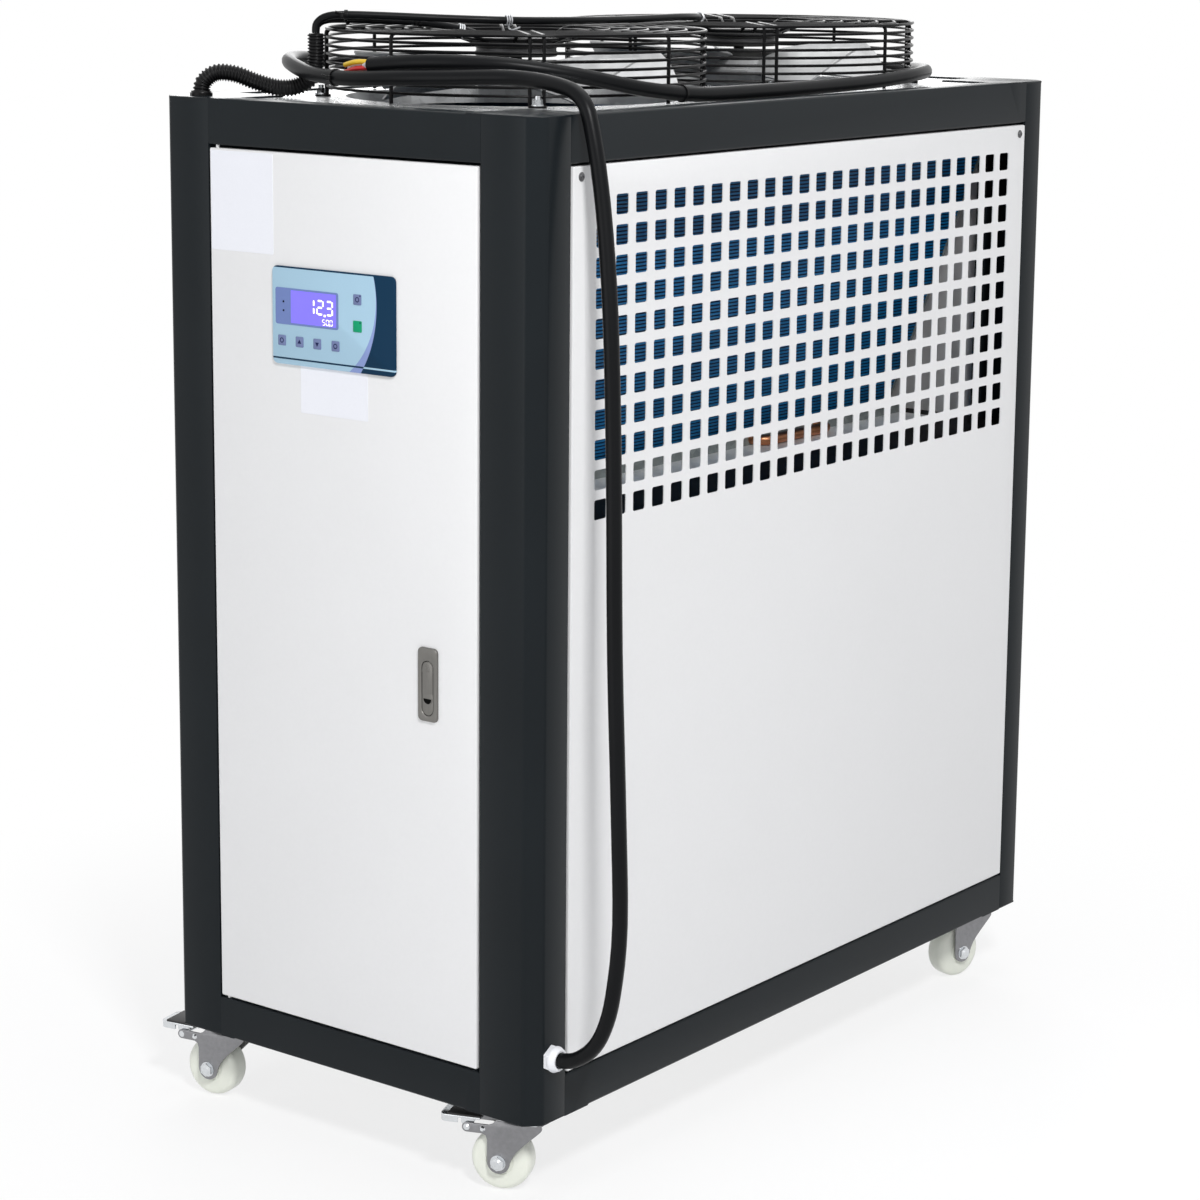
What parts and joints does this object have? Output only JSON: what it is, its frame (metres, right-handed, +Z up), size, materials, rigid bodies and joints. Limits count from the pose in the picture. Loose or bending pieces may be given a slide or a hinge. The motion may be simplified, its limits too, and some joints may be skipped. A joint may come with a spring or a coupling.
{
  "type": "air cooled water chiller",
  "caption": "Upright sheet steel water chiller on swivel casters, with perforated air sides, a V-shaped condenser coil, top fans under wire guards, a hinged front door and a power lead.",
  "frame": {"origin": "on the floor under the middle of the cabinet, where the caster wheels stand", "axes": "+Z up, -Y out of the door at the front, +X to the right seen from the front, towards the side with the power lead"},
  "size_m": [0.6316, 0.977, 1.1799],
  "materials": {
    "frame_paint": "fine textured anthracite powder coat",
    "panel_paint": "smooth white-grey powder coat",
    "galvanised": "bright galvanised sheet",
    "deck_paint": "black paint",
    "coil_fin": "blue coated aluminium fins",
    "copper": "dull copper tube",
    "guard_wire": "black coated wire",
    "motor_black": "satin black paint",
    "blade_metal": "dark grey paint",
    "conduit_plastic": "black corrugated plastic",
    "lead_rubber": "black rubber sheath",
    "core_sheath": "coloured core insulation",
    "gland_plastic": "white nylon",
    "zinc": "zinc plated stamped steel",
    "wheel_nylon": "ivory nylon",
    "latch_metal": "satin nickel die casting",
    "control_face": "printed membrane panel",
    "brass": "turned brass"
  },
  "bodies": {
    "cabinet": {"post_front_left": "frame_paint", "post_front_right": "frame_paint", "post_rear_left": "frame_paint", "post_rear_right": "frame_paint", "top_rails": "frame_paint", "bottom_rails": "frame_paint", "base_pan": "galvanised", "top_plate": "galvanised", "side_panel_right": "panel_paint", "side_panel_left": "panel_paint", "rear_panel": "panel_paint", "inner_front_plate": "galvanised", "coil_right": "coil_fin", "coil_left": "coil_fin", "coil_tray": "galvanised", "coil_deck": "deck_paint", "copper_headers": "copper", "fan_guard_front": "guard_wire", "fan_guard_rear": "guard_wire", "fan_motor_front": "motor_black", "fan_motor_rear": "motor_black", "conduit": "conduit_plastic", "fan_leads": "lead_rubber", "cable_gland": "gland_plastic", "power_cable": "lead_rubber", "cable_cores": "core_sheath", "caster_plates": "zinc", "water_inlet": "brass", "water_outlet": "brass"},
    "door": {"door_panel": "panel_paint", "control_panel": "control_face", "latch_body": "latch_metal"},
    "latch_lever": {"latch_handle": "latch_metal"},
    "front_fan": {"fan_rotor_front": "blade_metal"},
    "rear_fan": {"fan_rotor_rear": "blade_metal"},
    "caster_front_left": {"fork_front_left": "zinc"},
    "caster_front_right": {"fork_front_right": "zinc"},
    "caster_rear_left": {"fork_rear_left": "zinc"},
    "caster_rear_right": {"fork_rear_right": "zinc"},
    "roller_front_left": {"wheel_front_left": "wheel_nylon"},
    "roller_front_right": {"wheel_front_right": "wheel_nylon"},
    "roller_rear_left": {"wheel_rear_left": "wheel_nylon"},
    "roller_rear_right": {"wheel_rear_right": "wheel_nylon"},
    "brake_front_left": {"pedal_front_left": "zinc"},
    "brake_front_right": {"pedal_front_right": "zinc"}
  },
  "joints": [
    {"name": "door_hinge", "type": "hinge", "parent": "cabinet", "child": "door", "pos_m": [-0.17, -0.4735, 0.5865], "axis": [0, 0, -1], "range_deg": [0, 110]},
    {"name": "latch_turn", "type": "hinge", "parent": "door", "child": "latch_lever", "pos_m": [0.1155, -0.479, 0.536], "axis": [-1, 0, 0], "range_deg": [0, 30]},
    {"name": "front_fan_spin", "type": "hinge", "parent": "cabinet", "child": "front_fan", "pos_m": [0, -0.2025, 1.12], "axis": [0, 0, 1], "continuous": true},
    {"name": "rear_fan_spin", "type": "hinge", "parent": "cabinet", "child": "rear_fan", "pos_m": [0, 0.2025, 1.12], "axis": [0, 0, 1], "continuous": true},
    {"name": "swivel_front_left", "type": "hinge", "parent": "cabinet", "child": "caster_front_left", "pos_m": [-0.204, -0.4315, 0.08], "axis": [0, 0, 1], "continuous": true},
    {"name": "swivel_front_right", "type": "hinge", "parent": "cabinet", "child": "caster_front_right", "pos_m": [0.204, -0.4315, 0.08], "axis": [0, 0, 1], "continuous": true},
    {"name": "swivel_rear_left", "type": "hinge", "parent": "cabinet", "child": "caster_rear_left", "pos_m": [-0.204, 0.4315, 0.08], "axis": [0, 0, 1], "continuous": true},
    {"name": "swivel_rear_right", "type": "hinge", "parent": "cabinet", "child": "caster_rear_right", "pos_m": [0.204, 0.4315, 0.08], "axis": [0, 0, 1], "continuous": true},
    {"name": "roll_front_left", "type": "hinge", "parent": "caster_front_left", "child": "roller_front_left", "pos_m": [-0.22764, -0.43567, 0.032], "axis": [0.1736, -0.9848, 0], "continuous": true},
    {"name": "roll_front_right", "type": "hinge", "parent": "caster_front_right", "child": "roller_front_right", "pos_m": [0.18159, -0.4401, 0.032], "axis": [0.3584, -0.9336, 0], "continuous": true},
    {"name": "roll_rear_left", "type": "hinge", "parent": "caster_rear_left", "child": "roller_rear_left", "pos_m": [-0.21061, 0.40843, 0.032], "axis": [0.9613, -0.2756, 0], "continuous": true},
    {"name": "roll_rear_right", "type": "hinge", "parent": "caster_rear_right", "child": "roller_rear_right", "pos_m": [0.19739, 0.40843, 0.032], "axis": [0.9613, -0.2756, 0], "continuous": true},
    {"name": "brake_front_left", "type": "hinge", "parent": "caster_front_left", "child": "brake_front_left", "pos_m": [-0.26112, -0.44157, 0.0662], "axis": [0.1736, -0.9848, 0], "range_deg": [0, 10]},
    {"name": "brake_front_right", "type": "hinge", "parent": "caster_front_right", "child": "brake_front_right", "pos_m": [0.14985, -0.45228, 0.0662], "axis": [0.3584, -0.9336, 0], "range_deg": [0, 10]}
  ]
}
